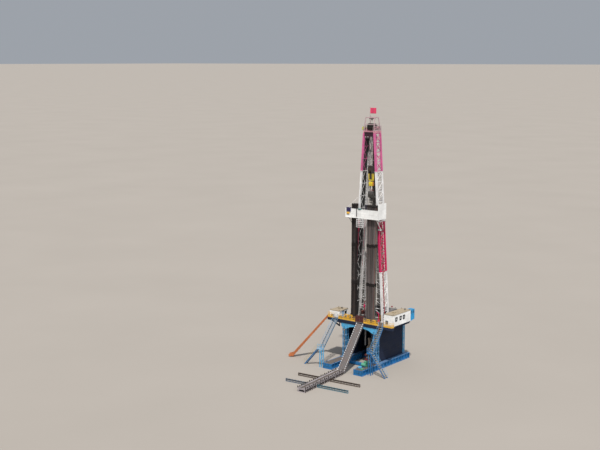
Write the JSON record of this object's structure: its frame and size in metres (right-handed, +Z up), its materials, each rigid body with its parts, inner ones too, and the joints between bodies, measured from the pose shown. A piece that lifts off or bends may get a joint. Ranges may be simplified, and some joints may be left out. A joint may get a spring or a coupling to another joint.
{
  "type": "oil drilling rig, 1:2 scale model",
  "caption": "Land drilling rig as a 1:2 scale model: open-front mast with hoist, raised drill floor with cabins, substructure, pipe ramp, catwalk, stairs and escape slide.",
  "frame": {"origin": "centre of the bounding box on the ground plane under the base boxes", "axes": "+Z up, +Y towards the drawworks side, -Y towards the pipe ramp and catwalk, +X towards the long cabin"},
  "size_m": [14.4904, 18.7532, 30.2],
  "materials": {
    "structure_blue": "satin paint",
    "structure_navy": "satin paint",
    "structure_cyan": "satin paint",
    "rail_yellow": "satin paint",
    "deck_steel": "worn non-slip plate",
    "machine_grey": "satin paint",
    "timber": "oiled planks",
    "tube_grey": "worn",
    "gate_maroon": "satin paint",
    "ramp_grey": "worn steel",
    "slide_orange": "faded paint",
    "cabin_white": "satin paint",
    "cabin_roof": "dusty paint",
    "cabin_door": "satin paint",
    "cabinet_blue": "satin paint",
    "crown_dark": "weathered paint",
    "window_glass": "clear",
    "mast_white": "weathered paint",
    "mast_red": "weathered paint",
    "mast_pink": "weathered paint",
    "flag_red": "woven",
    "block_yellow": "gloss paint",
    "drive_dark": "oily paint",
    "wire": "greased wire rope",
    "rail_steel": "oily steel",
    "pipe_red": "satin paint",
    "stand_black": "bare steel",
    "stand_brown": "bare steel, light rust"
  },
  "bodies": {
    "rig": {"base_boxes": "structure_blue", "base_cross_beams": "structure_blue", "front_columns": "structure_blue", "rear_columns": "structure_cyan", "side_bracing": "structure_navy", "front_haunches": "structure_cyan", "cladding_panels": "structure_navy", "floor_frame": "structure_navy", "drill_floor": "deck_steel", "rotary_table": "machine_grey", "setback_pads": "timber", "mouse_hole_tube": "tube_grey", "floor_railings": "rail_yellow", "v_door_ramp": "ramp_grey", "catwalk": "ramp_grey", "pipe_racks": "ramp_grey", "escape_slide": "slide_orange", "left_stair_upper": "structure_blue", "left_stair_lower": "structure_blue", "left_stair_landing": "structure_cyan", "right_stair_upper": "structure_blue", "right_stair_lower": "structure_blue", "right_stair_landing": "structure_blue", "right_cabin_walls": "cabin_white", "left_cabin_walls": "cabin_white", "cabin_floors": "structure_navy", "cabin_roofs": "cabin_roof", "cabin_doors": "cabin_door", "cabin_windows": "window_glass", "cabin_end_cabinet": "cabinet_blue", "cabin_brackets": "structure_navy", "drawworks": "machine_grey", "mast_section_1": "mast_white", "mast_section_2": "mast_red", "mast_section_3": "mast_white", "mast_section_4": "mast_red", "mast_back_bracing": "mast_white", "crown_header_beam": "crown_dark", "crown_platform": "mast_pink", "crown_top_frame": "mast_pink", "flag": "flag_red", "drilling_lines": "wire", "fast_line": "wire", "guide_rail": "rail_steel", "standpipe": "pipe_red", "racking_board": "mast_white", "wind_wall": "cabin_white", "ladder_basket": "mast_white", "mast_ladder": "mast_white", "pipe_stands_left": "stand_black", "pipe_stands_right": "stand_brown"},
    "hoist": {"travelling_block": "block_yellow", "top_drive": "drive_dark"},
    "sheave_cluster": {"crown_sheaves": "drive_dark"},
    "gate_left": {"v_door_gate_left": "gate_maroon"},
    "gate_right": {"v_door_gate_right": "gate_maroon"}
  },
  "joints": [
    {"name": "block_hoist", "type": "slide", "parent": "rig", "child": "hoist", "axis": [0, 0, 1], "range_m": [-12.9, 3.3], "deforming": ["drilling_lines"]},
    {"name": "crown_sheaves_spin", "type": "hinge", "parent": "rig", "child": "sheave_cluster", "pos_m": [1.8652, 4.8966, 27.98], "axis": [1, 0, 0], "continuous": true},
    {"name": "gate_left_swing", "type": "hinge", "parent": "rig", "child": "gate_left", "pos_m": [1.3652, 2.8066, 5.65], "axis": [0, 0, 1], "range_deg": [0, 95]},
    {"name": "gate_right_swing", "type": "hinge", "parent": "rig", "child": "gate_right", "pos_m": [2.3652, 2.8066, 5.65], "axis": [0, 0, -1], "range_deg": [0, 95]}
  ]
}
